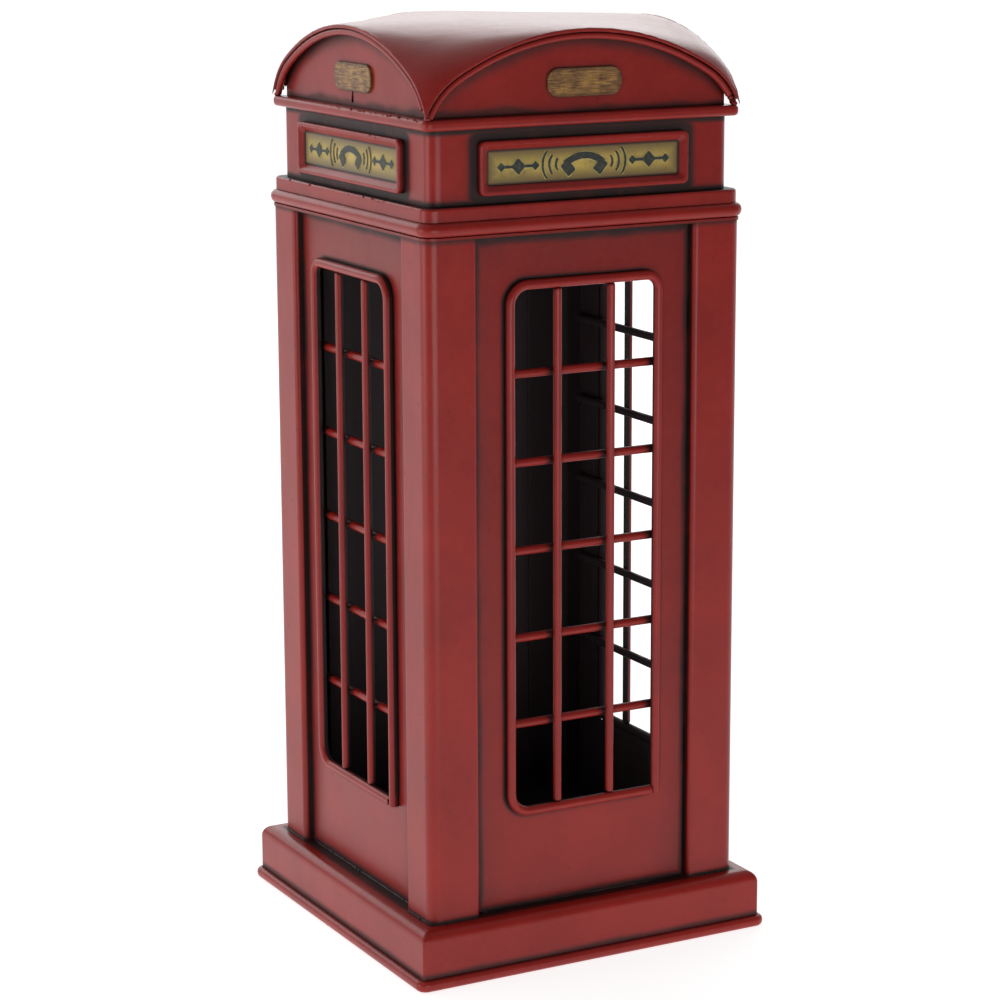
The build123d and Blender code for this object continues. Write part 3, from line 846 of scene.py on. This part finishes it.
def window_solder(side, stem):
    """Small spots where the crossbars are fixed to the uprights."""
    chance = random.Random(20 + SIDES.index(side))
    mesh = bmesh.new()
    for bar in range(BAR_COUNT):
        height = FIRST_BAR + bar * BAR_STEP
        for across in (-UPRIGHT_HALF, UPRIGHT_HALF):
            for hand in (-1, 1):
                size = chance.uniform(0.75, 1.1)
                up = height + chance.uniform(-0.5, 0.5)
                place = on_face(side, across + hand * 1.15, PANEL_BACK - 0.15, up)
                add_lump(mesh, place, (size, size, size * 0.95), chance.uniform(0, 50))
    body = "door" if side == "front" else "booth"
    make_piece(f"{stem}_solder", mesh, "solder", body=body)


def plinth_seams():
    """The mitred corners of the plinth, a fine raised line up each one."""
    mesh = bmesh.new()
    corner = PLINTH_HALF - 0.75
    for index, side in enumerate(SIDES):
        start = on_face(side, corner, corner, RING_TOP + 0.3)
        end = on_face(side, corner, corner, PLINTH_TOP - 5.4)
        add_tube(mesh, line_points(start, end), 0.55, 60 + index)
    make_piece("plinth_corner_seams", mesh, "red_paint")


# ---------------------------------------------------------------- roof edges and paint nibs

HEM_ROUND = 0.8
HEM_INSET = 0.75
HEM_DROP = 0.5
HEM_WANDER = 0.2
# The tube of painted shadow under each arch wire: its reach, round, drop, foot and wander.
GABLE_SHADOW_REACH = 64.8
GABLE_SHADOW_ROUND = 1.15
GABLE_SHADOW_DROP = 0.3
GABLE_SHADOW_FOOT = (1.3, 2.6)
GABLE_SHADOW_WANDER = 0.3
SLOT_ACROSS = -2.5
ARCH_POINTS = 240
ARCH_SIDES = 12


def top_level(node, side, across, out):
    """Height of a node's upper face, in millimetres, at a place on a side."""
    above = on_face(side, across, out, ROOF_TOP + 20)
    hit, place, _, _ = frame["nodes"][node].ray_cast(above, Vector((0, 0, -1)))
    if not hit:
        raise ValueError(f"nothing of {node} under {side} {across} {out}")
    return place.z / MM


def roof_hem(side):
    """The rolled and soldered edge of the roof sheet over one arch."""
    mesh = bmesh.new()
    out = ROOF_HALF - HEM_INSET
    path = []
    for i in range(ARCH_POINTS + 1):
        across = out * (2 * i / ARCH_POINTS - 1)
        level = top_level("roof", side, across, ROOF_HALF - 0.1)
        path.append(on_face(side, across, out, level - HEM_DROP))
    seed = 80 + 3.7 * SIDES.index(side)
    add_tube(mesh, evened(path), HEM_ROUND, seed, sides=ARCH_SIDES, ends=0.8, wander=HEM_WANDER)
    make_piece(f"{side}_roof_hem", mesh, "red_paint")


def gable_shadow_tube(side):
    """A dark tube filling the gap between the pediment's upper edge and the wire under the roof:
    painted shadow under the wire.
    """
    mesh = bmesh.new()
    out = (GABLE_FACE + ROOF_HALF) / 2 - 0.6
    beside, below = GABLE_SHADOW_FOOT

    def level(across):
        return top_level(f"{side}_pediment", side, across, GABLE_FACE - 0.5)

    foot = level(GABLE_SHADOW_REACH) - below
    path = [on_face(side, -GABLE_SHADOW_REACH - beside, out, foot)]
    for i in range(ARCH_POINTS + 1):
        across = GABLE_SHADOW_REACH * (2 * i / ARCH_POINTS - 1)
        path.append(on_face(side, across, out, level(across) - GABLE_SHADOW_DROP))
    path.append(on_face(side, GABLE_SHADOW_REACH + beside, out, foot))
    seed = 110 + 2.9 * SIDES.index(side)
    add_tube(
        mesh, evened(path), GABLE_SHADOW_ROUND, seed, sides=ARCH_SIDES, wander=GABLE_SHADOW_WANDER
    )
    # The solder look darkens this tube of painted shadow.
    make_piece(f"{side}_gable_shadow_tube", mesh, "solder")


def rod_feet():
    """Blobs of solder that seat the feet of the arches on the crown ring."""
    mesh = bmesh.new()
    for index, side in enumerate(SIDES):
        place = on_face(side, -ROOF_HALF + 1.9, ROOF_HALF - 1.6, CROWN_TOP + 0.5)
        add_lump(mesh, place, (1.5, 1.3, 1.0), 3.3 * index)
        place = on_face(side, ROOF_HALF - 3.6, ROOF_HALF - 1.9, CROWN_TOP + 3.1)
        add_lump(mesh, place, (1.1, 1.2, 1.1), 9 + 3.3 * index)
    make_piece("arch_foot_solder", mesh, "red_paint")


def slot_drip():
    """A short run of dark paint over the slot in the left pediment."""
    mesh = bmesh.new()
    top = on_face("left", SLOT_ACROSS, GABLE_FACE, CROWN_TOP + 6.6)
    bottom = on_face("left", SLOT_ACROSS, GABLE_FACE, CROWN_TOP + 4.2)
    add_tube(mesh, line_points(top, bottom, step=0.3), 0.34, 91)
    add_lump(mesh, bottom, (0.45, 0.5, 0.7), 17)
    make_piece("slot_drip", mesh, "solder")


def edge_nibs(name, side, out, up, span, count, seed, largest):
    """Nibs of paint and small scars along an edge, crowding towards the end of its span."""
    chance = random.Random(seed)
    mesh = bmesh.new()
    for _ in range(count):
        across = span[0] + (span[1] - span[0]) * chance.random() ** 0.6
        size = chance.uniform(0.22, largest)
        place_out = out + chance.uniform(-0.15, 0.1)
        place = on_face(side, across, place_out, up + chance.uniform(-0.4, 0.2))
        length = size * chance.uniform(0.8, 1.5)
        add_lump(mesh, place, (length, size, size * 0.8), chance.uniform(0, 50))
    make_piece(name, mesh, "red_paint")


CROWN_SPAN = CROWN_HALF - 3
BAND_SPAN = BAND_HALF - 5
RING_SPAN = RING_HALF - 4
SIGN_SPAN = SIGN_HALF - 12

# Where nibs sit: name, side, out, up, span, count, seed and size of the largest.
NIBS = (
    ("crown_left_nibs", "left", CROWN_HALF - 0.5, CROWN_TOP - 0.4, (-20, CROWN_SPAN), 22, 31, 0.62),
    ("crown_front_nibs", "front", CROWN_HALF - 0.4, CROWN_TOP - 0.9, (20, -CROWN_SPAN), 9, 32,
     0.35),
    ("band_left_nibs", "left", BAND_HALF - 0.3, BOX_BOTTOM - 0.5, (-60, BAND_SPAN), 22, 33, 0.55),
    ("band_front_nibs", "front", BAND_HALF - 0.2, BOX_BOTTOM - 1.0, (30, -BAND_SPAN), 8, 34, 0.35),
    ("ring_left_nibs", "left", RING_HALF - 0.8, 1.2, (-RING_SPAN, RING_SPAN), 34, 36, 0.5),
    ("ring_front_nibs", "front", RING_HALF - 0.7, 1.2, (-RING_SPAN, RING_SPAN), 26, 37, 0.42),
    ("sign_left_nibs", "left", SIGN_FACE - 0.3, SIGN_HIGH - 0.6, (-10, SIGN_SPAN), 5, 35, 0.6),
)

dress_frame()
for edge_side in SIDES:
    roof_hem(edge_side)
    gable_shadow_tube(edge_side)
rod_feet()
slot_drip()
for nibs in NIBS:
    edge_nibs(*nibs)
for sign_side in SIDES:
    sign_art(sign_side)
foot_solder()
for window_side, window_stem in WINDOWS.items():
    window_solder(window_side, window_stem)
plinth_seams()


# ---------------------------------------------------------------- room, light and camera


FLOOR_SIZE = 60
FLOOR_GREY = (0.55, 0.55, 0.55, 1)
FLOOR_ROUGHNESS = 0.9
FLOOR_GLOW = 0.8
FLOOR_GLOW_FRONT = 0.12
FLOOR_FADE = (-1.3, -0.15)
ROOM_DIM = 0.2
ROOM_BRIGHT = 0.8
ROOM_FADE = (-0.7, 0.55)
ROOM_SEEN = 1.25


def fading_along_y(tree, place, ends, values, seen):
    """A strength that goes from one value to the other along Y; the camera itself sees seen."""
    split = tree.nodes.new("ShaderNodeSeparateXYZ")
    fade = tree.nodes.new("ShaderNodeMapRange")
    fade.interpolation_type = "SMOOTHSTEP"
    fade.inputs["From Min"].default_value, fade.inputs["From Max"].default_value = ends
    fade.inputs["To Min"].default_value, fade.inputs["To Max"].default_value = values
    path = tree.nodes.new("ShaderNodeLightPath")
    pick = tree.nodes.new("ShaderNodeMix")
    pick.inputs[3].default_value = seen
    tree.links.new(place, split.inputs[0])
    tree.links.new(split.outputs["Y"], fade.inputs["Value"])
    tree.links.new(path.outputs["Is Camera Ray"], pick.inputs[0])
    tree.links.new(fade.outputs["Result"], pick.inputs[2])
    return pick.outputs[0]


def white_floor():
    """A pale floor whose light falls away in front of the object."""
    bpy.ops.mesh.primitive_plane_add(size=FLOOR_SIZE)
    floor = bpy.context.object
    floor.name = "studio_floor"
    material = bpy.data.materials.new("studio_white")
    material.use_nodes = True
    tree = material.node_tree
    shader = tree.nodes["Principled BSDF"]
    shader.inputs["Base Color"].default_value = FLOOR_GREY
    shader.inputs["Roughness"].default_value = FLOOR_ROUGHNESS
    shader.inputs["Emission Color"].default_value = (1, 1, 1, 1)
    place = tree.nodes.new("ShaderNodeNewGeometry").outputs["Position"]
    values = (FLOOR_GLOW_FRONT, FLOOR_GLOW)
    glow = fading_along_y(tree, place, FLOOR_FADE, values, FLOOR_GLOW)
    tree.links.new(glow, shader.inputs["Emission Strength"])
    floor.data.materials.append(material)


def white_room():
    """A pale studio: bright behind the object, dimmer on the camera's side."""
    world = bpy.data.worlds.new("studio")
    world.use_nodes = True
    tree = world.node_tree
    tree.nodes.clear()
    place = tree.nodes.new("ShaderNodeTexCoord").outputs["Generated"]
    light = tree.nodes.new("ShaderNodeBackground")
    output = tree.nodes.new("ShaderNodeOutputWorld")
    strength = fading_along_y(tree, place, ROOM_FADE, (ROOM_DIM, ROOM_BRIGHT), ROOM_SEEN)
    tree.links.new(strength, light.inputs["Strength"])
    tree.links.new(light.outputs[0], output.inputs[0])
    bpy.context.scene.world = world


def soft_box(name, place, target, width, height, power):
    """A rectangular lamp, power in watts, that the camera doesn't see."""
    lamp = bpy.data.lights.new(name, "AREA")
    lamp.shape = "RECTANGLE"
    lamp.size = width
    lamp.size_y = height
    lamp.energy = power
    box = bpy.data.objects.new(name, lamp)
    box.location = place
    box.rotation_euler = (Vector(target) - Vector(place)).to_track_quat("-Z", "Y").to_euler()
    box.visible_camera = False
    bpy.context.scene.collection.objects.link(box)


CAMERA_PLACE = (-0.58987, -1.09247, 0.45040)
CAMERA_YAW = 28.32
CAMERA_PITCH = 12.35
CAMERA_ROLL = -0.23
CAMERA_LENS = 107.93
CAMERA_SENSOR = 36


def add_camera():
    data = bpy.data.cameras.new("camera")
    data.lens = CAMERA_LENS
    data.sensor_width = CAMERA_SENSOR
    camera = bpy.data.objects.new("camera", data)
    yaw, pitch, roll = (math.radians(angle) for angle in (CAMERA_YAW, CAMERA_PITCH, CAMERA_ROLL))
    level = Matrix.Rotation(math.radians(90) - pitch, 4, "X")
    turned = Matrix.Rotation(-yaw, 4, "Z") @ level @ Matrix.Rotation(roll, 4, "Z")
    camera.matrix_world = Matrix.Translation(CAMERA_PLACE) @ turned
    bpy.context.scene.collection.objects.link(camera)
    bpy.context.scene.camera = camera


# Lamps: name, place, target, width and height in metres, and watts.
LAMPS = (
    ("key_light", (-0.1, -0.95, 0.14), (0.03, 0, 0.05), 0.6, 0.26, 1.7),
    ("side_light", (-1.5, 0.15, 0.25), (0, 0, 0.12), 0.8, 0.5, 3.2),
    ("back_light", (0.4, 1.7, 0.95), (0, 0, 0.35), 3.2, 1.0, 16),
)

white_floor()
white_room()
for lamp_row in LAMPS:
    soft_box(*lamp_row)
add_camera()
bpy.context.scene.view_settings.view_transform = "Standard"
